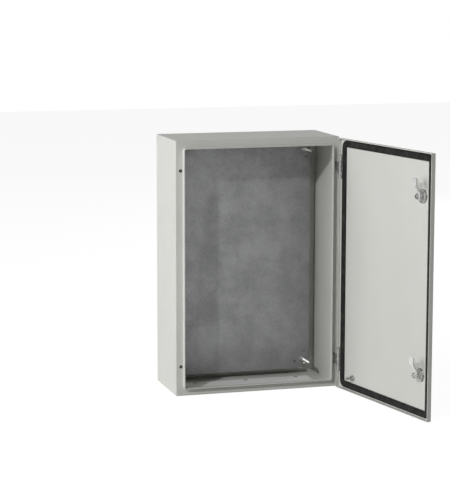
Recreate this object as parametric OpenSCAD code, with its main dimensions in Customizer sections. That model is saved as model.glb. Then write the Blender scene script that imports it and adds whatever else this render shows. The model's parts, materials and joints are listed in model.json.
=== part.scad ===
// Steel wall enclosure with a hinged door, two quarter-turn locks and a mounting plate.
// Every piece is modelled lying on its back: x to the right, y up the wall, z out from the
// wall. place() then stands it up, with the front towards -Y and the wall plane at Y = 0.
// The origin is the centre of the four wall fixing holes, on the wall plane.

/* [Cabinet] */
// Overall width of the cabinet
cabinet_w = 400; // [320:10:600]
// Overall height of the cabinet
cabinet_h = 600; // [440:10:800]
// Depth from the wall plane to the closed door's face
cabinet_d = 195; // [165:5:300]
// Sheet thickness of the cabinet
body_sheet = 1.5; // [1.2:0.1:2]
// Outside radius of the cabinet's folded edges
body_bend = 3; // [2.5:0.5:4]
// Distance from the outer edge to the inner face of the rain lip
rim_w = 19.5; // [19:0.5:24]
// Corner radius of the rain lip's inner face
lip_corner = 4; // [3:0.5:8]
// Width of the flange folded in at the back
rear_flange_w = 12; // [10:0.5:12.5]

/* [Wall fixings] */
// Distance of each wall fixing hole from the cabinet's edges
wall_hole_inset = 25; // [25:1:40]
// Diameter of the wall fixing holes
wall_hole_d = 8.5; // [6:0.5:11]
// Diameter of the pressed dimple around each wall fixing hole
dimple_d = 24; // [18:1:24]

/* [Mounting plate] */
// Side gap between the mounting plate and the cabinet's outside
plate_side_gap = 25; // [20:1:40]
// Gap between the mounting plate's ends and the cabinet's outside
plate_end_gap = 17; // [8:1:30]
// Thickness of the mounting plate
plate_t = 2; // [1.5:0.5:3]
// Width of the notch in each plate corner
notch_w = 20; // [12:1:26]
// Height of the notch in each plate corner
notch_h = 13; // [8:1:18]
// Length of the spacers behind the plate
spacer_l = 30; // [15:1:60]
// Outside diameter of the spacers
spacer_d = 14; // [12:1:18]
// Thread diameter of the plate studs
stud_d = 8; // [6:1:8]
// Length of each stud in front of the plate
stud_reach = 53; // [20:1:60]
// Distance of each stud from the cabinet's outside, sideways
stud_side = 40; // [36:1:60]
// Distance of each stud from the cabinet's top or bottom
stud_end = 40; // [32:1:60]
// Diameter of the plate's spare fixing holes
plate_hole_d = 6; // [4:0.5:8]

/* [Gland opening] */
// Distance of the gland plate's ends from the cabinet's sides
gland_side = 43; // [40:1:80]
// Width of the gland plate
gland_w = 86; // [60:1:110]
// Distance of the gland plate from the front rim
gland_setback = 16; // [12:1:40]
// Thickness of the gland plate
gland_t = 2; // [1.5:0.5:3]
// Thickness of the gland plate's gasket
gland_gasket_t = 3; // [2:0.5:4]
// Width of the land between the gland opening and the plate's edge
gland_land = 15; // [13:1:20]
// Distance of the outer gland screws from the gland plate's ends
gland_screw_end = 30; // [20:1:50]

/* [Side hole] */
// Diameter of the plugged hole in the right wall
side_plug_d = 5; // [4:0.5:8]
// Distance of the side hole from the front rim
side_plug_back = 44; // [30:1:80]
// Distance of the side hole from the cabinet's bottom
side_plug_up = 22; // [18:1:60]

/* [Door] */
// Distance from the cabinet's rim to the closed door's face
door_front = 20; // [19:0.5:24]
// How far the door's edge lies inside the cabinet's edge
door_inset = 2; // [1:0.5:3]
// Sheet thickness of the door
door_sheet = 1.5; // [1.2:0.1:2]
// Outside radius of the door's folded edges
door_bend = 2.5; // [2.5:0.5:4]
// Depth of the door's folded flange
door_flange = 11; // [10:0.5:14]
// Depth of the flange along the hinge side
hinge_flange = 7; // [5:0.5:8]
// Length of full-depth flange left at each hinge-side corner
hinge_corner = 16; // [12:1:24]
// Angle that the door stands open
open_angle = 101; // [0:1:112]

/* [Door gasket] */
// Width of the foam gasket
gasket_w = 16; // [14:1:18]
// Thickness of the foam gasket
gasket_t = 5; // [4.5:0.5:7]
// Gap from the door's edge to the gasket
gasket_inset = 4; // [3.5:0.5:5]
// Gap from the door's edge to the gasket on the hinge side
gasket_hinge_inset = 10; // [10:0.5:11]
// Radius of the gasket's rounded top edges
gasket_round = 4; // [1:0.5:4.5]

/* [Hinges] */
// Distance of each hinge's middle from the cabinet's top or bottom
hinge_end = 70; // [60:1:110]
// Distance of the hinge screw from the cabinet's side
hinge_screw_side = 12.5; // [11:0.5:13]
// Distance of the hinge pin from the cabinet's side
pin_side = 3.5; // [3.5:0.1:4]
// Diameter of the hinge pin
pin_d = 4; // [3:0.5:4]
// Outside diameter of the hinge knuckles
knuckle_d = 6; // [5.5:0.5:6.5]
// Length of the middle knuckle
knuckle_mid = 24; // [18:1:30]
// Length of each outer knuckle
knuckle_outer = 15.6; // [10:0.2:18]
// Thread diameter of the hinge screw
hinge_screw_d = 6; // [4:1:6]

/* [Locks] */
// Distance of each lock from the door's free edge
lock_side = 44; // [42:1:60]
// Distance of each lock from the cabinet's top or bottom
lock_end = 100; // [80:1:180]
// Diameter of the lock housing's front flange
lock_flange_d = 30; // [28:1:36]
// Height of the lock housing's front flange
lock_flange_t = 4; // [3:0.5:5]
// Diameter of the lock housing's barrel
barrel_d = 20; // [19:0.5:22]
// Diameter of the turning insert
insert_d = 14; // [12:0.5:15]
// Diameter of the key recess in the housing's front
recess_d = 20; // [18:0.5:23]
// Across flats of the lock's nut
lock_nut_af = 27; // [25:1:30]
// Thickness of the lock's nut
lock_nut_t = 5; // [4:0.5:6]
// Thread left beyond the lock's nut
barrel_out = 6; // [5:0.5:10]
// Thickness of the cam
cam_t = 3; // [2:0.5:3]
// Reach of the cam from the lock's axis
cam_reach = 41; // [38:0.5:42]
// Width of the cam's head
cam_head_w = 17; // [12:1:20]

/* [Earth stud on the door] */
// Thread diameter of the door's earth stud
earth_d = 6; // [5:1:8]
// Length of the door's earth stud
earth_l = 22; // [16:1:24]
// Distance of the earth stud from the door's hinge edge
earth_side = 65; // [50:1:120]
// Distance of the earth stud from the door's bottom edge
earth_end = 33; // [32:1:80]

/* [Hidden] */
$fn = 48;

paint = [0.79, 0.80, 0.77];
galvanised = [0.62, 0.63, 0.63];
zinc = [0.74, 0.74, 0.72];
rubber = [0.09, 0.09, 0.09];

eps = 0.01;             // extra depth of a cut past the face it opens
running = 0.05;         // radial clearance of a turning fit
thread_fit = 0.1;       // radial clearance of a screw in its hole
loose_fit = 0.5;        // radial clearance of a clearance hole
seat_gap = 0.3;         // gap between soft or curved pieces that meet

// Cabinet
rim_z = cabinet_d - door_front;
panel_front = 2 * body_sheet;           // inner face of the back panel
plate_back = panel_front + spacer_l;
plate_front = plate_back + plate_t;
plate_w = cabinet_w - 2 * plate_side_gap;
plate_h = cabinet_h - 2 * plate_end_gap;
stud_x = cabinet_w / 2 - stud_side;
stud_y = cabinet_h / 2 - stud_end;
stud_top = plate_front + stud_reach;
wall_x = cabinet_w / 2 - wall_hole_inset;
wall_y = cabinet_h / 2 - wall_hole_inset;
floor_y = -cabinet_h / 2 + body_sheet;  // upper face of the floor
gland_l = cabinet_w - 2 * gland_side;
gland_z = rim_z - gland_setback - gland_w / 2;

// Door, as it lies closed
door_w = cabinet_w - 2 * door_inset;
door_h = cabinet_h - 2 * door_inset;
door_in = cabinet_d - door_sheet;       // inner face of the door
gasket_face = door_in - gasket_t;
lip_top = gasket_face - seat_gap;
hinge_edge = door_w / 2;

// Hinges
hinge_y = cabinet_h / 2 - hinge_end;
pin_x = cabinet_w / 2 - pin_side;
pin_z = door_in - knuckle_d / 2 - 0.4;
hinge_screw_x = cabinet_w / 2 - hinge_screw_side;
knuckle_slack = 0.4;                    // end play between knuckles
hinge_l = knuckle_mid + 2 * (knuckle_slack + knuckle_outer);
pad_t = 4;                              // thickness of the block's pad on the rim
pad_left = cabinet_w / 2 - rim_w + body_sheet + seat_gap;
pad_right = cabinet_w / 2 - 6.5;
pad_nest = body_bend - body_sheet + seat_gap / 3; // clears the bend beside the pad

// Locks
lock_x = -door_w / 2 + lock_side;
lock_y = cabinet_h / 2 - lock_end;
seal_t = 1;
washer_t = 1.5;
barrel_end = door_in - washer_t - lock_nut_t - barrel_out;
stub_w = 8;                             // square that drives the cam
cam_back = barrel_end - seat_gap;       // face of the cam nearest the door
cam_crank = cam_back - (rim_z - body_sheet - 2);  // how far the cam's head is set back
cam_head_l = 18;
cam_screw_d = 5;
lock_cavity = 4.5;                      // depth of the key recess

// Small hardware
side_plug_z = rim_z - side_plug_back;
side_plug_y = -cabinet_h / 2 + side_plug_up;
gland_screw_d = 5;
gland_screw_edge = 6.5;                 // from the screws to the plate's long edges
gland_screw_x = gland_l / 2 - gland_screw_end;
plate_washer_t = 1.6;
earth_x = hinge_edge - earth_side;
earth_y = -door_h / 2 + earth_end;
earth_washer_t = 1.5;
function hex_d(across_flats) = across_flats / cos(30);
function nut_af(thread) = lookup(thread, [[5, 8], [6, 10], [8, 13]]);

// Stand a piece up from its lying position.
module place() {
    rotate([90, 0, 0]) children();
}

// Swing a piece of the door from closed to its open angle.
module on_door() {
    place() translate([pin_x, 0, pin_z]) rotate([0, open_angle, 0])
        translate([-pin_x, 0, -pin_z]) children();
}

// Put a piece at the upper (1) or lower (-1) lock, its axis along z.
module at_lock(side) {
    translate([lock_x, side * lock_y, 0]) children();
}

// Copy a piece to the four corners at +-x, +-y.
module corners(x, y) {
    for (sx = [-1, 1], sy = [-1, 1]) translate([sx * x, sy * y, 0]) children();
}

// Rectangle with rounded corners, centred.
module rounded(w, h, r) {
    square([w - 2 * r, h], center = true);
    square([w, h - 2 * r], center = true);
    for (sx = [-1, 1], sy = [-1, 1])
        translate([sx * (w / 2 - r), sy * (h / 2 - r)]) circle(r = r);
}

// Plate from z0 to z1 with rounded corners.
module slab(w, h, z0, z1, r) {
    translate([0, 0, z0]) linear_extrude(z1 - z0) rounded(w, h, r);
}

// Sweep a 2-D profile round a rounded rectangle. The profile's x points out of the
// rectangle and its y is height above the wall.
module ring_sweep(w, h, r) {
    for (k = [0:3]) {
        reach = (k % 2 == 0 ? w : h) / 2;
        run = (k % 2 == 0 ? h : w) - 2 * r;
        rotate([0, 0, 90 * k]) {
            translate([reach, run / 2, 0]) rotate([90, 0, 0]) linear_extrude(run) children();
            translate([reach - r, run / 2, 0]) rotate_extrude(angle = 90)
                translate([r, 0]) children();
        }
    }
}

// Folded wall from z0 to z1 with a bend of outside radius r at each end that is named,
// and the sheet inside x = 0.
module wall_profile(z0, z1, r, t, low_bend, high_bend) {
    low = low_bend ? z0 + r : z0;
    high = high_bend ? z1 - r : z1;
    translate([-t, low]) square([t, high - low]);
    if (low_bend) translate([-r, low]) bend(r, t, 270);
    if (high_bend) translate([-r, high]) bend(r, t, 0);
}

// Quarter ring of sheet, starting at an angle.
module bend(r, t, start) {
    rotate(start) intersection() {
        difference() {
            circle(r = r);
            circle(r = r - t);
        }
        square(r);
    }
}

// Lip that turns forward out of the rim's flange, on the inner face's path.
module lip_profile() {
    inner = body_bend;
    translate([inner, rim_z - body_sheet + inner]) bend(inner, body_sheet, 180);
    translate([0, rim_z - body_sheet + inner])
        square([body_sheet, lip_top - rim_z + body_sheet - inner]);
}

// Cabinet: four walls folded in at the back and at the front rim
module cabinet_shell() {
    flange_w = cabinet_w - 2 * body_bend;
    flange_h = cabinet_h - 2 * body_bend;
    mouth_w = cabinet_w - 2 * rim_w;
    mouth_h = cabinet_h - 2 * rim_w;
    color(paint) difference() {
        union() {
            ring_sweep(cabinet_w, cabinet_h, body_bend)
                wall_profile(0, rim_z, body_bend, body_sheet, true, true);
            difference() {
                union() {
                    translate([-flange_w / 2, -flange_h / 2, 0])
                        cube([flange_w, flange_h, body_sheet]);
                    translate([-flange_w / 2, -flange_h / 2, rim_z - body_sheet])
                        cube([flange_w, flange_h, body_sheet]);
                }
                slab(cabinet_w - 2 * rear_flange_w, cabinet_h - 2 * rear_flange_w,
                     -1, rim_z / 2, lip_corner);
                slab(mouth_w + 2 * body_bend, mouth_h + 2 * body_bend,
                     rim_z / 2, rim_z + 1, lip_corner + body_bend);
            }
            ring_sweep(mouth_w, mouth_h, lip_corner) lip_profile();
        }
        hinge_holes(hinge_screw_d / 2 + thread_fit);
        side_hole(side_plug_d / 2);
        gland_cut();
    }
}

// Holes through the rim's flange for the hinges, on both sides
module hinge_holes(r) {
    for (sx = [-1, 1], sy = [-1, 1])
        translate([sx * hinge_screw_x, sy * hinge_y, rim_z - body_sheet - 1])
            cylinder(r = r, h = body_sheet + 2);
}

// Small fixing hole low on the right wall
module side_hole(r) {
    translate([cabinet_w / 2 - body_sheet - 1, side_plug_y, side_plug_z])
        rotate([0, 90, 0]) cylinder(r = r, h = body_sheet + 2);
}

// Places of the gland plate's screws, turned to point down through the floor
module gland_screw_places() {
    for (sx = [-1, 0, 1], sz = [-1, 1])
        translate([sx * gland_screw_x, floor_y,
                   gland_z + sz * (gland_w / 2 - gland_screw_edge)])
            rotate([90, 0, 0]) children();
}

// Opening in the floor with its screw holes
module gland_cut() {
    translate([0, floor_y + 1, gland_z]) rotate([90, 0, 0])
        slab(gland_l - 2 * gland_land, gland_w - 2 * gland_land, 0, body_sheet + 2, 5);
    gland_screw_places() translate([0, 0, -1])
        cylinder(r = gland_screw_d / 2 + thread_fit, h = body_sheet + 2);
}

// Back panel, welded on the inside of the rear flange
module back_panel() {
    fit = body_bend + 0.2;
    color(paint) difference() {
        union() {
            translate([-cabinet_w / 2 + fit, -cabinet_h / 2 + fit, body_sheet])
                cube([cabinet_w - 2 * fit, cabinet_h - 2 * fit, body_sheet]);
            corners(wall_x, wall_y) cylinder(d = dimple_d, h = panel_front);
        }
        corners(wall_x, wall_y) {
            translate([0, 0, body_sheet])
                cylinder(d = dimple_d - 2 * body_sheet, h = body_sheet + 1);
            translate([0, 0, -1]) cylinder(d = wall_hole_d, h = panel_front + 2);
        }
    }
}

// Mounting plate with notched corners
module mounting_plate() {
    color(galvanised) translate([0, 0, plate_back]) difference() {
        translate([-plate_w / 2, -plate_h / 2, 0]) cube([plate_w, plate_h, plate_t]);
        corners(plate_w / 2, plate_h / 2) translate([0, 0, plate_t / 2])
            cube([2 * notch_w, 2 * notch_h, plate_t + 2], center = true);
        corners(stud_x, stud_y) hole(stud_d / 2 + loose_fit);
        corners(stud_x + 4, stud_y - 20) hole(plate_hole_d / 2);
        corners(stud_x - 21.5, stud_y + 5) hole(plate_hole_d / 2);
    }
}

// Hole through the mounting plate
module hole(r) {
    translate([0, 0, -1]) cylinder(r = r, h = plate_t + 2);
}

// Threaded studs welded on the back panel
module plate_studs() {
    color(zinc) corners(stud_x, stud_y) translate([0, 0, panel_front]) {
        cylinder(d = stud_d, h = stud_top - panel_front - 1);
        translate([0, 0, stud_top - panel_front - 1])
            cylinder(d1 = stud_d, d2 = stud_d - 2, h = 1);
    }
}

// Spacer tubes between the back panel and the mounting plate
module plate_spacers() {
    color(zinc) corners(stud_x, stud_y) translate([0, 0, panel_front]) difference() {
        cylinder(d = spacer_d, h = spacer_l);
        translate([0, 0, -1]) cylinder(r = stud_d / 2 + thread_fit, h = spacer_l + 2);
    }
}

// Flat washer on a thread
module washer(thread, outer, t) {
    difference() {
        cylinder(d = outer, h = t);
        translate([0, 0, -1]) cylinder(r = thread / 2 + thread_fit, h = t + 2);
    }
}

// Hexagon nut on a thread
module nut(thread, t) {
    difference() {
        cylinder(d = hex_d(nut_af(thread)), h = t, $fn = 6);
        translate([0, 0, -1]) cylinder(r = thread / 2 + thread_fit, h = t + 2);
    }
}

module plate_washers() {
    color(zinc) corners(stud_x, stud_y) translate([0, 0, plate_front])
        washer(stud_d, 2 * stud_d, plate_washer_t);
}

module plate_nuts() {
    color(zinc) corners(stud_x, stud_y) translate([0, 0, plate_front + plate_washer_t])
        nut(stud_d, 0.8 * stud_d);
}

// Gland plate that closes the opening in the floor
module gland_plate() {
    color(galvanised) difference() {
        translate([0, floor_y + gland_gasket_t + gland_t, gland_z]) rotate([90, 0, 0])
            slab(gland_l, gland_w, 0, gland_t, 4);
        gland_screw_places() {
            translate([0, 0, -gland_gasket_t - gland_t - 1])
                cylinder(r = gland_screw_d / 2 + thread_fit, h = gland_t + 2);
            translate([0, 0, -gland_gasket_t - gland_t - eps])
                cylinder(r1 = gland_screw_d + thread_fit, r2 = gland_screw_d / 2 + thread_fit,
                         h = gland_t);
        }
    }
}

module gland_gasket() {
    color(rubber) difference() {
        translate([0, floor_y + gland_gasket_t, gland_z]) rotate([90, 0, 0]) difference() {
            slab(gland_l, gland_w, 0, gland_gasket_t, 4);
            slab(gland_l - 2 * gland_land, gland_w - 2 * gland_land,
                 -1, gland_gasket_t + 1, 5);
        }
        gland_screw_places() translate([0, 0, -gland_gasket_t - 1])
            cylinder(r = gland_screw_d / 2 + thread_fit, h = gland_gasket_t + 2);
    }
}

// Countersunk screws that hold the gland plate down
module gland_screws() {
    stack = gland_t + gland_gasket_t;
    color(zinc) gland_screw_places() difference() {
        union() {
            translate([0, 0, -stack])
                cylinder(r1 = gland_screw_d, r2 = gland_screw_d / 2, h = gland_t);
            translate([0, 0, -stack]) cylinder(d = gland_screw_d, h = stack + body_sheet - 0.2);
        }
        translate([0, 0, -stack - eps]) cylinder(d = 3, h = 1.2, $fn = 6);
    }
}

// Plugs in the unused hinge holes and the fixing hole of the right wall
module hole_plugs() {
    color(rubber) {
        for (sy = [-1, 1]) translate([-hinge_screw_x, sy * hinge_y, rim_z]) plug(hinge_screw_d);
        translate([cabinet_w / 2 - body_sheet, side_plug_y, side_plug_z])
            rotate([0, -90, 0]) plug(side_plug_d - 2 * running);
    }
}

// Domed plug with its head on z = 0 and its stem below
module plug(stem) {
    rise = 1.2;
    head_r = stem / 2 + 1;
    ball_r = (head_r * head_r + rise * rise) / (2 * rise);
    intersection() {
        translate([0, 0, rise - ball_r]) sphere(r = ball_r);
        cylinder(r = head_r, h = rise + 1);
    }
    translate([0, 0, -body_sheet]) cylinder(d = stem, h = body_sheet + eps);
}

// Hinge block on the rim: a pad, an arm and the middle knuckle
module hinge_block(side) {
    lean = atan2(pin_z - rim_z, pin_x - hinge_screw_x);
    across = [knuckle_d / 2 * sin(lean), -knuckle_d / 2 * cos(lean)];
    pin = [pin_x, pin_z];
    pad_top = rim_z + pad_t;
    color(zinc) translate([0, side * hinge_y, 0]) difference() {
        translate([0, knuckle_mid / 2, 0]) rotate([90, 0, 0]) linear_extrude(knuckle_mid) {
            polygon([[pad_left + pad_nest, rim_z], [pad_right, rim_z], [pad_right, pad_top],
                     [pad_left, pad_top], [pad_left, rim_z + pad_t / 2]]);
            translate(pin) circle(d = knuckle_d);
            polygon([[pad_right, rim_z + 2], pin + across, pin - across,
                     [hinge_screw_x - 1, pad_top], [pad_right - 1, rim_z + 2]]);
        }
        pin_bore(knuckle_mid);
        translate([hinge_screw_x, 0, rim_z - 1])
            cylinder(r = hinge_screw_d / 2 + thread_fit, h = pad_t + 0.4);
    }
}

// Bore for the hinge pin along y
module pin_bore(l) {
    translate([pin_x, l / 2 + 1, pin_z]) rotate([90, 0, 0])
        cylinder(r = pin_d / 2 + running, h = l + 2);
}

// Screws that hold the hinge blocks, driven from inside
module hinge_screws() {
    head_h = 0.6 * hinge_screw_d;
    color(zinc) for (sy = [-1, 1])
        translate([hinge_screw_x, sy * hinge_y, rim_z - body_sheet]) difference() {
            union() {
                translate([0, 0, -head_h]) cylinder(d = 1.7 * hinge_screw_d, h = head_h);
                cylinder(d = hinge_screw_d, h = body_sheet + pad_t - 1);
            }
            translate([0, 0, -head_h - eps]) cylinder(d = 4, h = head_h / 2, $fn = 6);
        }
}

// Door: a tray with shallow flanges, cut back along the hinge side
module door_panel() {
    face_w = door_w - 2 * door_bend;
    face_h = door_h - 2 * door_bend;
    cut_x = hinge_edge - door_bend - 2;
    color(paint) difference() {
        union() {
            ring_sweep(door_w, door_h, door_bend)
                wall_profile(cabinet_d - door_flange, cabinet_d, door_bend, door_sheet,
                             false, true);
            translate([-face_w / 2, -face_h / 2, door_in]) cube([face_w, face_h, door_sheet]);
        }
        translate([cut_x, -door_h / 2 + hinge_corner, cabinet_d - door_flange - 1])
            cube([door_bend + 4, door_h - 2 * hinge_corner, door_flange - hinge_flange + 1]);
        for (sy = [-1, 1])
            translate([cut_x, sy * hinge_y - hinge_l / 2 - 1, cabinet_d - door_flange - 1])
                cube([door_bend + 4, hinge_l + 2, door_flange - door_sheet + 1]);
        for (sy = [-1, 1]) at_lock(sy) translate([0, 0, door_in - 1])
            cylinder(r = barrel_d / 2 + thread_fit, h = door_sheet + 2);
    }
}

// Foamed-in-place gasket on the door's inner face
module door_gasket() {
    inner_r = 2;
    outer_x = door_w / 2 - gasket_inset;
    w = door_w - gasket_inset - gasket_hinge_inset - 2 * gasket_w;
    h = door_h - 2 * gasket_inset - 2 * gasket_w;
    color(rubber) translate([w / 2 + gasket_w - outer_x, 0, 0])
        ring_sweep(w, h, inner_r) gasket_profile();
}

module gasket_profile() {
    translate([0, gasket_face + gasket_round]) square([gasket_w, gasket_t - gasket_round]);
    translate([gasket_round, gasket_face]) square([gasket_w - 2 * gasket_round, gasket_round]);
    for (x = [gasket_round, gasket_w - gasket_round])
        translate([x, gasket_face + gasket_round]) intersection() {
            circle(r = gasket_round);
            translate([-gasket_round, -gasket_round]) square([2 * gasket_round, gasket_round]);
        }
}

// Door half of a hinge: a strip beside the gasket and two outer knuckles
module hinge_leaf(side) {
    strip_t = 2;
    strip_x = hinge_edge - gasket_hinge_inset + seat_gap;
    strip_w = pin_x - knuckle_d / 2 - 0.5 - strip_x;
    knuckle_y = knuckle_mid / 2 + knuckle_slack;
    color(zinc) translate([0, side * hinge_y, 0]) difference() {
        union() {
            translate([strip_x, -hinge_l / 2, door_in - strip_t])
                cube([strip_w, hinge_l, strip_t]);
            for (s = [-1, 1])
                translate([0, s * (knuckle_y + knuckle_outer / 2), 0]) {
                    translate([pin_x, knuckle_outer / 2, pin_z]) rotate([90, 0, 0])
                        cylinder(d = knuckle_d, h = knuckle_outer);
                    translate([strip_x, -knuckle_outer / 2, door_in - strip_t])
                        cube([pin_x - strip_x, knuckle_outer, strip_t]);
                }
        }
        pin_bore(hinge_l);
    }
}

// Hinge pin with a small head on top
module hinge_pin(side) {
    color(zinc) translate([pin_x, side * hinge_y, pin_z]) rotate([-90, 0, 0]) {
        translate([0, 0, -hinge_l / 2]) cylinder(d = pin_d, h = hinge_l);
        translate([0, 0, hinge_l / 2]) cylinder(d = pin_d + 1, h = 0.8);
    }
}

// Lock housing: front flange with the key recess, and the barrel through the door
module lock_housing(side) {
    front = cabinet_d + seal_t + lock_flange_t;
    color(zinc) at_lock(side) difference() {
        union() {
            translate([0, 0, cabinet_d + seal_t])
                cylinder(d = lock_flange_d, h = lock_flange_t - 1);
            translate([0, 0, front - 1])
                cylinder(d1 = lock_flange_d, d2 = lock_flange_d - 2, h = 1);
            translate([0, 0, barrel_end])
                cylinder(d = barrel_d, h = cabinet_d + seal_t - barrel_end + eps);
        }
        translate([0, 0, front - lock_cavity]) cylinder(d = recess_d - 2, h = lock_cavity + 1);
        translate([0, 0, front - 1]) cylinder(d1 = recess_d - 2, d2 = recess_d, h = 1 + eps);
        translate([0, 0, barrel_end - 1])
            cylinder(r = insert_d / 2 + running, h = front - barrel_end);
    }
}

// Sealing washer under the lock's front flange
module lock_seal(side) {
    color(rubber) at_lock(side) translate([0, 0, cabinet_d]) difference() {
        cylinder(d = lock_flange_d - 1, h = seal_t);
        translate([0, 0, -1]) cylinder(r = barrel_d / 2 + thread_fit, h = seal_t + 2);
    }
}

module lock_washer(side) {
    color(zinc) at_lock(side) translate([0, 0, door_in - washer_t])
        washer(barrel_d, hex_d(lock_nut_af), washer_t);
}

module lock_nut(side) {
    color(zinc) at_lock(side) translate([0, 0, door_in - washer_t - lock_nut_t]) difference() {
        intersection() {
            cylinder(d = hex_d(lock_nut_af), h = lock_nut_t, $fn = 6);
            cylinder(d = lock_nut_af + 2, h = lock_nut_t);
        }
        translate([0, 0, -1]) cylinder(r = barrel_d / 2 + thread_fit, h = lock_nut_t + 2);
    }
}

// Turning insert: collar, double-bit post in front, square stub behind
module lock_insert(side) {
    cavity_floor = cabinet_d + seal_t + lock_flange_t - lock_cavity;
    collar_t = 1;
    post_top = cabinet_d + seal_t + lock_flange_t - 1;
    color(zinc) at_lock(side) difference() {
        union() {
            translate([0, 0, barrel_end]) cylinder(d = insert_d, h = cavity_floor - barrel_end);
            translate([0, 0, cavity_floor]) cylinder(d = recess_d - 2.6, h = collar_t);
            translate([0, 0, cavity_floor]) cylinder(d = 5, h = post_top - cavity_floor);
            translate([-1.5, -4.5, cavity_floor]) cube([3, 9, post_top - cavity_floor - 0.5]);
            translate([-stub_w / 2, -stub_w / 2, cam_back - cam_t + 0.2])
                cube([stub_w, stub_w, barrel_end - cam_back + cam_t - 0.2 + eps]);
        }
        translate([0, 0, cam_back - cam_t]) cylinder(r = cam_screw_d / 2 + thread_fit, h = 8);
    }
}

// Cranked cam: a plate on the square stub whose head is set back behind the rim
module lock_cam(side) {
    boss_r = stub_w / 2 + 5;
    color(zinc) at_lock(side) difference() {
        intersection() {
            translate([0, 0, cam_back]) cam_side();
            translate([0, 0, cam_back - cam_crank - cam_t - 1])
                linear_extrude(cam_crank + cam_t + 2) cam_plan(boss_r);
        }
        translate([0, 0, cam_back - cam_t / 2])
            cube([stub_w + 0.2, stub_w + 0.2, cam_t + 1], center = true);
    }
}

// Outline of the cam seen along its axis: round boss, narrow arm and hammer head
module cam_plan(boss_r) {
    arm_w = 9;
    head_low = cam_reach - cam_head_l;
    circle(r = boss_r);
    translate([-cam_head_w / 2, 0]) square([arm_w, cam_reach - 2]);
    polygon([[-cam_head_w / 2, head_low - 4], [cam_head_w / 2, head_low + 3],
             [cam_head_w / 2, cam_reach - 1.5], [cam_head_w / 2 - 1.5, cam_reach],
             [-cam_head_w / 2 + 1.5, cam_reach], [-cam_head_w / 2, cam_reach - 1.5]]);
}

// Bent strip seen from the side, extruded across the cam's full width
module cam_side() {
    w = 3 * cam_head_w;
    start = stub_w / 2 + 4.5;
    run = cam_reach - cam_head_l + 1.5 - start;
    tip = 3.5;
    translate([-w / 2, 0, 0]) rotate([90, 0, 90]) linear_extrude(w)
        polygon([[-15, 0], [start, 0], [start + run, -cam_crank],
                 [cam_reach - tip, -cam_crank], [cam_reach + 1, -cam_crank - tip * 0.4],
                 [cam_reach + 1, -cam_crank - tip * 0.4 - cam_t],
                 [cam_reach - tip, -cam_crank - cam_t], [start + run, -cam_crank - cam_t],
                 [start, -cam_t], [-15, -cam_t]]);
}

// Hexagon screw and washer that hold the cam on the stub
module cam_screw(side) {
    head_h = 3.5;
    washer_h = 1.5;
    color(zinc) at_lock(side) translate([0, 0, cam_back - cam_t]) {
        translate([0, 0, -washer_h]) cylinder(d = stub_w + 6, h = washer_h);
        translate([0, 0, -washer_h - head_h])
            cylinder(d = hex_d(8), h = head_h + eps, $fn = 6);
        translate([0, 0, -eps]) cylinder(d = cam_screw_d, h = 7.5);
    }
}

// Earth stud welded on the door's inner face, low on the hinge side
module door_earth_stud() {
    color(zinc) translate([earth_x, earth_y, door_in - earth_l])
        cylinder(d = earth_d, h = earth_l);
}

module door_earth_washer() {
    color(zinc) translate([earth_x, earth_y, door_in - earth_washer_t])
        washer(earth_d, 2.2 * earth_d, earth_washer_t);
}

module door_earth_nut() {
    color(zinc) translate([earth_x, earth_y, door_in - earth_washer_t - 0.8 * earth_d])
        nut(earth_d, 0.8 * earth_d);
}

place() cabinet_shell();
place() back_panel();
place() mounting_plate();
place() plate_studs();
place() plate_spacers();
place() plate_washers();
place() plate_nuts();
place() gland_plate();
place() gland_gasket();
place() gland_screws();
place() hole_plugs();
place() hinge_block(1);  // hinge_block_upper
place() hinge_block(-1);  // hinge_block_lower
place() hinge_screws();
on_door() door_panel();
on_door() door_gasket();
on_door() hinge_leaf(1);  // hinge_leaf_upper
on_door() hinge_leaf(-1);  // hinge_leaf_lower
on_door() hinge_pin(1);  // hinge_pin_upper
on_door() hinge_pin(-1);  // hinge_pin_lower
on_door() lock_housing(1);  // lock_housing_upper
on_door() lock_housing(-1);  // lock_housing_lower
on_door() lock_seal(1);  // lock_seal_upper
on_door() lock_seal(-1);  // lock_seal_lower
on_door() lock_washer(1);  // lock_washer_upper
on_door() lock_washer(-1);  // lock_washer_lower
on_door() lock_nut(1);  // lock_nut_upper
on_door() lock_nut(-1);  // lock_nut_lower
on_door() lock_insert(1);  // lock_insert_upper
on_door() lock_insert(-1);  // lock_insert_lower
on_door() lock_cam(1);  // lock_cam_upper
on_door() lock_cam(-1);  // lock_cam_lower
on_door() cam_screw(1);  // cam_screw_upper
on_door() cam_screw(-1);  // cam_screw_lower
on_door() door_earth_stud();
on_door() door_earth_washer();
on_door() door_earth_nut();
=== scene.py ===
import json
import math

import bmesh
import bpy
from mathutils import Matrix, Vector

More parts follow.
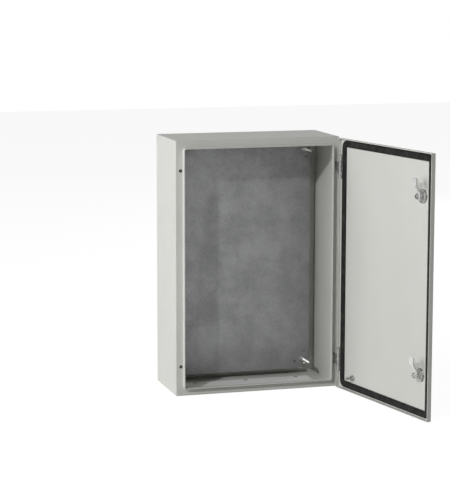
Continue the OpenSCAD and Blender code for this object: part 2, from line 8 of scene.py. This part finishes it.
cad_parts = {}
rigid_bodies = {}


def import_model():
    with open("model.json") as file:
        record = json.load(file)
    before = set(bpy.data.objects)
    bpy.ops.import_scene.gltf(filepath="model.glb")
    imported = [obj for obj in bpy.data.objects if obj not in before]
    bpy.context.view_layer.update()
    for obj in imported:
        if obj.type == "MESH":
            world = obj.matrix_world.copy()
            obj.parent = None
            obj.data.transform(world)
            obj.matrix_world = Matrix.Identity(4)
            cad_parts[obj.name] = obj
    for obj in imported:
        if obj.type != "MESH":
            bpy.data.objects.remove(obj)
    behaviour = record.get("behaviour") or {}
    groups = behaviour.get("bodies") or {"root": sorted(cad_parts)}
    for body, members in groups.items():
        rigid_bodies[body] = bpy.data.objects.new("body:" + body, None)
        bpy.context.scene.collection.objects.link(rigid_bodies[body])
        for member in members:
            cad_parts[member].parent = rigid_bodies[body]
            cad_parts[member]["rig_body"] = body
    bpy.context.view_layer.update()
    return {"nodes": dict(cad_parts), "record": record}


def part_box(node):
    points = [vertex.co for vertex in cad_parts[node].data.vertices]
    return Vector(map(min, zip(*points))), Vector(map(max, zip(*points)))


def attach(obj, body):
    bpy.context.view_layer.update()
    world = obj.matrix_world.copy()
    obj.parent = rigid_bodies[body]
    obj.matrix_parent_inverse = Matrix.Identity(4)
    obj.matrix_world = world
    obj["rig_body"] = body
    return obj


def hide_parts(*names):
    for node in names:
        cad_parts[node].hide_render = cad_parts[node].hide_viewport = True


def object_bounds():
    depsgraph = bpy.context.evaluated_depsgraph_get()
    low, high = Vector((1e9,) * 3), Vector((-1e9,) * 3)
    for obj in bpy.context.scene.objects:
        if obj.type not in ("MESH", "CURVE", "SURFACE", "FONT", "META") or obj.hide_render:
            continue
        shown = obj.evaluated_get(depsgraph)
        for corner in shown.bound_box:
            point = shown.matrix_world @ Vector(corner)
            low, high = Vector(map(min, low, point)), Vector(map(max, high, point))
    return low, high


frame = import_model()
nodes = frame["nodes"]
print("frame loaded:", len(nodes), "pieces")


# Shader maths as plain Python: a Wire is one output of one node.
class Wire:
    def __init__(self, finish, socket):
        self.finish = finish
        self.socket = socket

    def maths(self, operation, first, second, clamp=False):
        settings = {"operation": operation, "use_clamp": clamp}
        return self.finish.node("ShaderNodeMath", settings, {0: first, 1: second})

    def __add__(self, other):
        return self.maths("ADD", self, other)

    def __radd__(self, other):
        return self.maths("ADD", other, self)

    def __rsub__(self, other):
        return self.maths("SUBTRACT", other, self)

    def __mul__(self, other):
        return self.maths("MULTIPLY", self, other)

    def __rmul__(self, other):
        return self.maths("MULTIPLY", other, self)

    def clamped(self):
        return self.maths("ADD", self, 0.0, clamp=True)

    def above(self, low, high):
        settings = {"interpolation_type": "SMOOTHSTEP"}
        return self.finish.node("ShaderNodeMapRange", settings,
                                {"Value": self, "From Min": low, "From Max": high})


# A node tree under construction; any node comes from its one method.
class NodeWork:
    def __init__(self, tree):
        self.tree = tree

    def node(self, kind, settings=None, sockets=None, out=0):
        item = self.tree.nodes.new(kind)
        for key, value in (settings or {}).items():
            setattr(item, key, value)
        for key, value in (sockets or {}).items():
            self.feed(item.inputs[key], value)
        return Wire(self, item.outputs[out])

    def feed(self, socket, value):
        if isinstance(value, Wire):
            self.tree.links.new(value.socket, socket)
        else:
            socket.default_value = value


# A material under construction, named for the finish it gives.
class Finish(NodeWork):
    def __init__(self, name):
        self.material = bpy.data.materials.new(name)
        self.material.use_nodes = True
        super().__init__(self.material.node_tree)
        self.shader = self.tree.nodes["Principled BSDF"]
        self.place = self.node("ShaderNodeTexCoord", out="Object")

    def set(self, **sockets):
        for key, value in sockets.items():
            self.feed(self.shader.inputs[key.replace("_", " ")], value)

    def noise(self, scale, detail=3.0, roughness=0.5, place=None):
        return self.node("ShaderNodeTexNoise", {}, {
            "Vector": place or self.place, "Scale": scale, "Detail": detail,
            "Roughness": roughness})

    def stretched(self, scale):
        return self.node("ShaderNodeMapping", {}, {"Vector": self.place, "Scale": scale})

    def blend(self, factor, first, second):
        return self.node("ShaderNodeMix", {"data_type": "RGBA"},
                         {0: factor, 6: first, 7: second}, out=2)

    def bump(self, height, strength, distance):
        return self.node("ShaderNodeBump", {}, {
            "Height": height, "Strength": strength, "Distance": distance})


def rgb(red, green, blue):
    return (red, green, blue, 1.0)


# Powder coat: a fine orange peel and a barely uneven grey.
powder = {"colour": rgb(0.605, 0.608, 0.575), "shade": rgb(0.582, 0.585, 0.553),
          "roughness": 0.46, "gloss": 0.3, "peelScale": 750.0, "peelDepth": 0.00009,
          "cloudScale": 9.0}


def powderCoat():
    coat = Finish("lightGreyPowderCoat")
    cloud = coat.noise(powder["cloudScale"], detail=2.0).above(0.35, 0.65)
    peel = coat.noise(powder["peelScale"], detail=2.0, roughness=0.6)
    speck = coat.noise(powder["peelScale"] * 2.2, detail=1.0).above(0.62, 0.75)
    tone = coat.blend(cloud * 0.6 + speck * 0.4, powder["colour"], powder["shade"])
    coat.set(Base_Color=tone, Specular_IOR_Level=powder["gloss"],
             Roughness=powder["roughness"] + 0.1 * peel,
             Normal=coat.bump(peel, 0.35, powder["peelDepth"]))
    return coat.material


# Galvanised sheet: grey zinc, softly clouded, with a fine grain and a few rubbed streaks.
galvanised = {"dark": rgb(0.20, 0.202, 0.205), "light": rgb(0.35, 0.353, 0.357),
              "cloudScale": 16.0, "grainScale": 330.0, "streaks": (40.0, 40.0, 6.0),
              "roughness": 0.42}


def galvanisedSheet():
    sheet = Finish("galvanisedSheet")
    cloud = sheet.noise(galvanised["cloudScale"], detail=5.0, roughness=0.62)
    grain = sheet.noise(galvanised["grainScale"], detail=3.0, roughness=0.7)
    streak = sheet.noise(1.0, detail=5.0, place=sheet.stretched(galvanised["streaks"]))
    mottle = cloud.above(0.34, 0.68) * 0.4 + grain.above(0.3, 0.7) * 0.35 + streak * 0.25
    sheet.set(Base_Color=sheet.blend(mottle, galvanised["dark"], galvanised["light"]),
              Metallic=0.7,
              Roughness=galvanised["roughness"] + 0.16 * (1 - mottle),
              Normal=sheet.bump(grain + cloud, 0.12, 0.0002))
    return sheet.material


# Zinc-passivated cover of the cable opening: pale and matt, with light rub marks.
passivated = {"colour": rgb(0.93, 0.93, 0.92), "rubbed": rgb(0.84, 0.84, 0.84),
              "rubs": (6.0, 90.0, 20.0), "roughness": 0.5}


def passivatedSheet():
    cover = Finish("passivatedSheet")
    rub = cover.noise(1.0, detail=5.0, place=cover.stretched(passivated["rubs"]))
    grain = cover.noise(500.0, detail=2.0)
    worn = rub.above(0.4, 0.7) * 0.7 + grain * 0.3
    cover.set(Base_Color=cover.blend(worn, passivated["colour"], passivated["rubbed"]),
              Metallic=0.12,
              Roughness=passivated["roughness"] + 0.12 * worn,
              Normal=cover.bump(grain, 0.1, 0.0001))
    return cover.material


# Bright plating: darker zinc on screws and hinges, paler and less mirrored on the cams.
zinc = {"name": "brightZincPlate", "colour": rgb(0.52, 0.52, 0.505),
        "dull": rgb(0.32, 0.32, 0.31), "cloudScale": 140.0, "metallic": 0.95,
        "roughness": 0.24, "dullRoughness": 0.12}
camPlate = {"name": "brightCamPlate", "colour": rgb(0.84, 0.84, 0.83),
            "dull": rgb(0.66, 0.66, 0.65), "cloudScale": 120.0, "metallic": 0.35,
            "roughness": 0.3, "dullRoughness": 0.1}


def plating(metal):
    plate = Finish(metal["name"])
    cloud = plate.noise(metal["cloudScale"], detail=4.0, roughness=0.6).above(0.38, 0.68)
    grain = plate.noise(900.0, detail=2.0)
    plate.set(Base_Color=plate.blend(cloud, metal["colour"], metal["dull"]),
              Metallic=metal["metallic"],
              Roughness=metal["roughness"] + metal["dullRoughness"] * cloud,
              Normal=plate.bump(grain, 0.1, 0.00005))
    return plate.material


# Die-cast zinc of the locks: satin, with a slightly pebbled skin.
dieCast = {"colour": rgb(0.42, 0.42, 0.41), "worn": rgb(0.62, 0.62, 0.61), "roughness": 0.30}


def dieCastZinc():
    cast = Finish("satinDieCast")
    cloud = cast.noise(220.0, detail=3.0)
    pebble = cast.noise(1500.0, detail=2.0)
    cast.set(Base_Color=cast.blend(cloud.above(0.4, 0.62), dieCast["colour"], dieCast["worn"]),
             Metallic=0.9,
             Roughness=dieCast["roughness"] + 0.15 * cloud,
             Normal=cast.bump(pebble, 0.12, 0.00006))
    return cast.material


# Foamed gasket: matt black with a fine open skin.
foam = {"colour": rgb(0.012, 0.012, 0.012), "dust": rgb(0.03, 0.03, 0.028), "gloss": 0.25}


def foamedGasket():
    skin = Finish("blackFoamGasket")
    pore = skin.noise(1800.0, detail=3.0, roughness=0.7)
    wave = skin.noise(60.0, detail=3.0)
    skin.set(Base_Color=skin.blend(wave.above(0.4, 0.75), foam["colour"], foam["dust"]),
             Specular_IOR_Level=foam["gloss"],
             Roughness=0.78 + 0.15 * pore,
             Normal=skin.bump(pore * 0.3 + wave, 0.25, 0.0004))
    return skin.material


# Black plastic of the hole plugs, finely grained.
def blackPlastic():
    plastic = Finish("blackPlastic")
    grain = plastic.noise(1200.0, detail=2.0)
    plastic.set(Base_Color=rgb(0.02, 0.02, 0.02), Roughness=0.45 + 0.1 * grain,
                Normal=plastic.bump(grain, 0.1, 0.00005))
    return plastic.material


finishes = {"paint": powderCoat(), "galvanised": galvanisedSheet(), "zinc": plating(zinc),
            "die_cast": dieCastZinc(), "foam": foamedGasket(), "plug": blackPlastic()}
camFinish = plating(camPlate)
ownFinish = {"gland_plate": passivatedSheet(), "lock_cam_upper": camFinish,
             "lock_cam_lower": camFinish}
slotOf = {part["node"]: part["material_slot"] for part in frame["record"]["subparts"]}
for name, piece in nodes.items():
    piece.data.materials.clear()
    piece.data.materials.append(ownFinish.get(name) or finishes[slotOf[name]])
print("finishes on", len(nodes), "pieces")


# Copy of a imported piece, merged and with its sheared edges eased, that stands for it
eased = {"mergeGap": 0.000001, "flatAngle": math.radians(0.5), "edgeAngle": math.radians(28),
         "segments": 2}


def shadeByAngle(shape):
    for face in shape.faces:
        face.smooth = True
    for edge in shape.edges:
        bend = edge.calc_face_angle(math.pi)
        edge.smooth = bend < eased["edgeAngle"]


def dress(shape, name, node):
    mesh = bpy.data.meshes.new(name)
    shape.to_mesh(mesh)
    shape.free()
    piece = bpy.data.objects.new(name, mesh)
    bpy.context.scene.collection.objects.link(piece)
    piece.data.materials.append(ownFinish.get(node) or finishes[slotOf[node]])
    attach(piece, nodes[node]["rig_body"])
    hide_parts(node)
    return piece


def easeEdges(node, name, width):
    shape = bmesh.new()
    shape.from_mesh(nodes[node].data)
    bmesh.ops.remove_doubles(shape, verts=shape.verts, dist=eased["mergeGap"])
    bmesh.ops.dissolve_limit(shape, angle_limit=eased["flatAngle"], verts=shape.verts,
                             edges=shape.edges)
    shadeByAngle(shape)
    piece = dress(shape, name, node)
    bevel = piece.modifiers.new("easedEdges", "BEVEL")
    bevel.limit_method = "ANGLE"
    bevel.angle_limit = eased["edgeAngle"]
    bevel.width = width
    bevel.segments = eased["segments"]
    bevel.use_clamp_overlap = True


easedPieces = {
    "camUpper": ("lock_cam_upper", 0.0004), "camLower": ("lock_cam_lower", 0.0004),
    "hingeBlockUpper": ("hinge_block_upper", 0.0003),
    "hingeBlockLower": ("hinge_block_lower", 0.0003),
    "hingeLeafUpper": ("hinge_leaf_upper", 0.0003),
    "hingeLeafLower": ("hinge_leaf_lower", 0.0003),
    "camScrewUpper": ("cam_screw_upper", 0.0003), "camScrewLower": ("cam_screw_lower", 0.0003),
    "plateSheet": ("mounting_plate", 0.0003), "glandCover": ("gland_plate", 0.0003),
}
for name, (node, width) in easedPieces.items():
    easeEdges(node, name, width)
print("eased pieces:", len(easedPieces))


# Turned and threaded pieces: a profile of (radius, height) spun round the Z axis
# Threads are stacked rings; their depth, crest and root are shares of the pitch
turned = {"steps": 40, "threadDepth": 0.61, "crest": 0.12, "root": 0.12,
          "mergeGap": 0.000002, "threadFit": 0.0001}


def threadProfile(radius, start, end, pitch):
    depth = turned["threadDepth"] * pitch
    count = int((end - start) / pitch)
    lead = start + (end - start - count * pitch) / 2
    points = [(radius - depth, start)]
    for turn in range(count):
        foot = lead + turn * pitch
        points += [(radius - depth, foot + turned["root"] * pitch / 2),
                   (radius, foot + (1 - turned["crest"]) * pitch / 2),
                   (radius, foot + (1 + turned["crest"]) * pitch / 2),
                   (radius - depth, foot + (1 - turned["root"] / 2) * pitch)]
    return points + [(radius - depth, end)]


def lathe(shape, profile, closed=False):
    points = [shape.verts.new((radius, 0, height)) for radius, height in profile]
    pairs = list(zip(points, points[1:] + points[:1]))
    edges = [shape.edges.new(pair) for pair in (pairs if closed else pairs[:-1])]
    bmesh.ops.spin(shape, geom=points + edges, cent=(0, 0, 0), axis=(0, 0, 1),
                   angle=2 * math.pi, steps=turned["steps"], use_merge=True,
                   use_duplicate=False)
    bmesh.ops.remove_doubles(shape, verts=shape.verts, dist=turned["mergeGap"])
    bmesh.ops.recalc_face_normals(shape, faces=shape.faces)


# Hexagon nut about the Z axis, its corners taken off at an angle on both faces
hexagon = {"sides": 48, "seatShare": 0.96, "fall": math.tan(math.radians(30))}


def hexNut(shape, flats, thread, low, high, widest=1):
    seat = flats / 2 * hexagon["seatShare"]
    bore = thread / 2 + turned["threadFit"]
    ring = bmesh.ops.create_circle(shape, segments=hexagon["sides"], radius=bore)["verts"]
    start = list(shape.edges)
    bmesh.ops.translate(shape, verts=ring, vec=(0, 0, low))
    edges = start
    for kind, level, inward in (("seat", low, 0), ("flat", low, 1), ("flat", high, -1),
                                ("seat", high, 0), ("bore", high, 0)):
        grown = bmesh.ops.extrude_edge_only(shape, edges=edges)["geom"]
        edges = [item for item in grown if isinstance(item, bmesh.types.BMEdge)
                 and all(vert in grown for vert in item.verts)]
        for vert in (item for item in grown if isinstance(item, bmesh.types.BMVert)):
            angle = math.atan2(vert.co.y, vert.co.x)
            turn = angle % (math.pi / 3) - math.pi / 6
            corner = min(flats / 2 / math.cos(turn), widest)
            reach = {"seat": seat, "bore": bore, "flat": corner}[kind]
            lift = inward * (reach - seat) * hexagon["fall"]
            vert.co = (reach * math.cos(angle), reach * math.sin(angle), level + lift)
    bmesh.ops.bridge_loops(shape, edges=start + edges)
    bmesh.ops.recalc_face_normals(shape, faces=shape.faces)


def copiesAt(shape, build, places):
    for place in places:
        part = bmesh.new()
        build(part)
        mesh = bpy.data.meshes.new("copy")
        part.to_mesh(mesh)
        part.free()
        mesh.transform(place)
        shape.from_mesh(mesh)
        bpy.data.meshes.remove(mesh)


# The operators leave points and faces in an order that varies, so it is settled here
def settleOrder(shape):
    across = Vector((1.0, 10 * math.sqrt(2), 100 * math.sqrt(3)))
    shape.verts.sort(key=lambda vert: vert.co.dot(across))
    shape.edges.sort(key=lambda edge: (edge.verts[0].co + edge.verts[1].co).dot(across))
    shape.faces.sort(key=lambda face: face.calc_center_median().dot(across))


def centreOf(node):
    nodeLow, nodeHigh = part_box(node)
    return (nodeLow + nodeHigh) / 2


def turnedPiece(name, node, build, places):
    shape = bmesh.new()
    copiesAt(shape, build, places)
    settleOrder(shape)
    shadeByAngle(shape)
    dress(shape, name, node)


# Axes: the cabinet's point to the front, the door's are turned with the open door
toFront = Matrix.Rotation(math.pi / 2, 4, "X")
joints = frame["record"]["behaviour"]["joints"]
doorJoint = next(joint for joint in joints if joint["name"] == "door_hinge")
doorTurn = Matrix.Rotation(math.radians(-doorJoint["range_deg"][0]), 4, "Z") @ toFront

studs = {"thread": 0.008, "pitch": 0.00125, "nutFlats": 0.013, "tipLength": 0.001,
         "tipFall": 0.0018}
studLow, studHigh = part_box("plate_studs")
studLength = studHigh.y - studLow.y
studPlaces = [Matrix.Translation((side * (studHigh.x - studs["thread"] / 2), studHigh.y,
                                  end * (studHigh.z - studs["thread"] / 2))) @ toFront
              for side in (-1, 1) for end in (-1, 1)]


def studShape(shape):
    radius = studs["thread"] / 2
    tip = studLength - studs["tipLength"]
    lathe(shape, [(0, 0)] + threadProfile(radius, 0, tip, studs["pitch"])
          + [(radius - studs["tipFall"], studLength), (0, studLength)])


turnedPiece("threadedStuds", "plate_studs", studShape, studPlaces)

nutLow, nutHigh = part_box("plate_nuts")
nutPlaces = [Matrix.Translation((place.translation.x, nutHigh.y, place.translation.z))
             @ toFront for place in studPlaces]
turnedPiece("studNuts", "plate_nuts", lambda shape: hexNut(
    shape, studs["nutFlats"], studs["thread"], 0, nutHigh.y - nutLow.y), nutPlaces)

# Earth stud on the door, with its nut
earth = {"thread": 0.006, "pitch": 0.001, "length": 0.022, "nutFlats": 0.010,
         "nutHeight": 0.0048, "tipLength": 0.0008, "tipFall": 0.0012}


def earthStudShape(shape):
    radius = earth["thread"] / 2
    half = earth["length"] / 2
    thread = threadProfile(radius, -half + earth["tipLength"], half, earth["pitch"])
    lathe(shape, [(0, half)] + thread[::-1] + [(radius - earth["tipFall"], -half), (0, -half)])


turnedPiece("earthStudThreaded", "door_earth_stud", earthStudShape,
            [Matrix.Translation(centreOf("door_earth_stud")) @ doorTurn])
turnedPiece("earthNutChamfered", "door_earth_nut", lambda shape: hexNut(
    shape, earth["nutFlats"], earth["thread"], -earth["nutHeight"] / 2,
    earth["nutHeight"] / 2), [Matrix.Translation(centreOf("door_earth_nut")) @ doorTurn])

# Lock housing and nut, with heights measured from the middle of the nut
lock = {"nutFlats": 0.027, "nutHeight": 0.005, "nutWidest": 0.0145, "barrel": 0.010,
        "pitch": 0.0015, "bore": 0.00705, "barrelEnd": -0.0085, "skirt": 0.0065,
        "plainEnd": 0.002, "face": 0.0105, "flange": 0.015, "recess": 0.009,
        "recessDepth": 0.0045, "chamfer": 0.001}


def lockHousingShape(shape):
    face, ease = lock["face"], lock["chamfer"]
    threadEnd = lock["skirt"] - lock["plainEnd"]
    floorLevel = face - lock["recessDepth"]
    thread = threadProfile(lock["barrel"], lock["barrelEnd"] + ease / 2, threadEnd,
                           lock["pitch"])
    lathe(shape, [(lock["bore"], lock["barrelEnd"]), (lock["barrel"] - ease, lock["barrelEnd"])]
          + thread + [(lock["barrel"], threadEnd), (lock["barrel"], lock["skirt"]),
                      (lock["flange"] - ease / 3, lock["skirt"]),
                      (lock["flange"], lock["skirt"] + ease / 3), (lock["flange"], face - ease),
                      (lock["flange"] - ease, face), (lock["recess"] + ease, face),
                      (lock["recess"], face - ease), (lock["recess"], floorLevel),
                      (lock["bore"], floorLevel)], closed=True)


for end in ("Upper", "Lower"):
    place = Matrix.Translation(centreOf("lock_nut_" + end.lower())) @ doorTurn
    turnedPiece("lockHousing" + end, "lock_housing_" + end.lower(), lockHousingShape, [place])
    turnedPiece("lockNut" + end, "lock_nut_" + end.lower(), lambda shape: hexNut(
        shape, lock["nutFlats"], 2 * lock["barrel"], -lock["nutHeight"] / 2,
        lock["nutHeight"] / 2, lock["nutWidest"]), [place])


# Floor and light
low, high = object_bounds()
scene = bpy.context.scene
scene.view_settings.view_transform = "Standard"

stage = {"floorSize": 16.0, "floorGap": 0.0005, "floorGrey": rgb(0.72, 0.72, 0.72),
         "floorLit": 0.3, "shadowShare": 0.25, "ambient": 0.07}


# 1 for camera, glossy and transmission rays, 0 for the rays that carry light about
def seenDirectly(work):
    seen = work.node("ShaderNodeLightPath", out="Is Camera Ray")
    rays = seen.socket.node.outputs
    mirrored = Wire(work, rays["Is Glossy Ray"]) + Wire(work, rays["Is Transmission Ray"])
    return (seen + mirrored).clamped()


# The glow makes the lit floor come out white, and leaves the shadow a share of its depth
def floorFinish():
    finish = Finish("paleFloor")
    finish.set(Base_Color=stage["floorGrey"], Roughness=0.9, Specular_IOR_Level=0.0)
    share = stage["shadowShare"]
    glow = finish.node("ShaderNodeEmission", {}, {
        "Strength": (1 - share * stage["floorLit"]) / (1 - share)})
    mix = finish.node("ShaderNodeMixShader", {}, {
        0: seenDirectly(finish) * (1 - share), 1: Wire(finish, finish.shader.outputs[0]),
        2: glow})
    finish.feed(finish.tree.nodes["Material Output"].inputs["Surface"], mix)
    return finish.material


floorLevel = low.z - stage["floorGap"]
bpy.ops.mesh.primitive_plane_add(size=stage["floorSize"], location=(0, 0, floorLevel))
floor = bpy.context.object
floor.name = "floor"
floor.data.materials.append(floorFinish())

world = bpy.data.worlds.new("studio")
scene.world = world
world.use_nodes = True
sky = NodeWork(world.node_tree)
plain = sky.tree.nodes["Background"]
plain.inputs["Color"].default_value = rgb(1, 1, 1)
plain.inputs["Strength"].default_value = stage["ambient"]
white = sky.node("ShaderNodeBackground", {}, {"Color": rgb(1, 1, 1), "Strength": 1.0})
backdrop = sky.node("ShaderNodeMixShader", {}, {
    0: seenDirectly(sky), 1: Wire(sky, plain.outputs[0]), 2: white})
sky.feed(sky.tree.nodes["World Output"].inputs["Surface"], backdrop)

# The large soft lamps stay out of mirror rays, so no flat top washes out
lamps = {
    "keyLamp": {"towards": (-0.605, -0.64, 0.478), "distance": 4.0, "size": 0.16,
                "power": 71.0, "mirrored": True},
    "sideLamp": {"towards": (-0.97, 0.02, 0.22), "distance": 3.5, "size": 2.2, "power": 72.0,
                 "mirrored": False},
    "farLamp": {"towards": (0.8, 0.55, 0.15), "distance": 3.5, "size": 2.4, "power": 70.0,
                "mirrored": False},
}


def addLamp(name, spec):
    lamp = bpy.data.lights.new(name, "AREA")
    lamp.shape = "SQUARE"
    lamp.size = spec["size"]
    lamp.energy = spec["power"]
    holder = bpy.data.objects.new(name, lamp)
    holder.visible_glossy = spec["mirrored"]
    scene.collection.objects.link(holder)
    away = Vector(spec["towards"]).normalized()
    holder.location = (low + high) / 2 + away * spec["distance"]
    holder.rotation_euler = away.to_track_quat("Z", "Y").to_euler()


for name, spec in lamps.items():
    addLamp(name, spec)
print("lamps:", ", ".join(lamps))


# Camera
view = {"place": (-1.3095, -4.3568, 0.7202), "turn": (81.091, -0.073, -16.364),
        "lens": 135.26}
camera = bpy.data.cameras.new("camera")
camera.lens = view["lens"]
camera.sensor_width = 36.0
camera.clip_end = 60.0
eye = bpy.data.objects.new("camera", camera)
eye.location = view["place"]
eye.rotation_euler = [math.radians(angle) for angle in view["turn"]]
scene.collection.objects.link(eye)
scene.camera = eye
